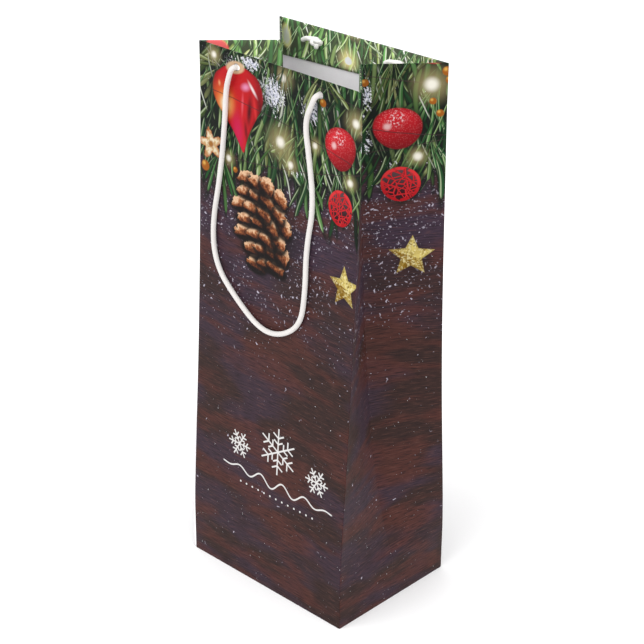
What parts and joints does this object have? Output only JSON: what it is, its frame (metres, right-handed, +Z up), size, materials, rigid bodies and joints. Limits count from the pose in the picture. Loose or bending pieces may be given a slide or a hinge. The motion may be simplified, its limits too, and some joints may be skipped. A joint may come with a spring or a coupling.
{
  "type": "wine gift bag",
  "caption": "Tall narrow paper gift bag for a wine bottle, standing open, with pinched gussets and white knitted cord handles.",
  "frame": {"origin": "middle of the base, on the surface the bag stands on", "axes": "+Z up, +X along the front panel to the right, the front panel faces -Y"},
  "size_m": [0.125, 0.092, 0.33],
  "materials": {
    "printed_paper": "satin coated art paper, printed",
    "white_paper": "matte unprinted",
    "card": "matte",
    "board": "matte",
    "cord": "matte knitted"
  },
  "bodies": {
    "bag": {"front_panel": "printed_paper", "back_panel": "printed_paper", "right_gusset_front": "printed_paper", "right_gusset_rear": "printed_paper", "left_gusset_front": "printed_paper", "left_gusset_rear": "printed_paper", "front_hem": "printed_paper", "back_hem": "printed_paper", "right_gusset_hem": "printed_paper", "left_gusset_hem": "printed_paper", "side_glue_tab": "white_paper", "rear_bottom_flap": "printed_paper", "front_bottom_flap": "printed_paper", "right_bottom_flap": "white_paper", "left_bottom_flap": "white_paper", "front_top_card": "card", "back_top_card": "card", "front_left_knot": "cord", "front_right_knot": "cord", "rear_left_knot": "cord", "rear_right_knot": "cord"},
    "base_board": {"base_board": "board"},
    "front_handle": {"front_handle_cord": "cord"},
    "rear_handle": {"rear_handle_cord": "cord"}
  },
  "joints": [
    {"name": "front_handle_swing", "type": "hinge", "parent": "bag", "child": "front_handle", "pos_m": [0, -0.03494, 0.3214], "axis": [-1, 0, 0], "range_deg": [0, 175]},
    {"name": "rear_handle_swing", "type": "hinge", "parent": "bag", "child": "rear_handle", "pos_m": [0, 0.03494, 0.3214], "axis": [1, 0, 0], "range_deg": [0, 175]},
    {"name": "base_board_lift", "type": "slide", "parent": "bag", "child": "base_board", "axis": [0, 0, 1], "range_m": [0, 0.024]}
  ]
}
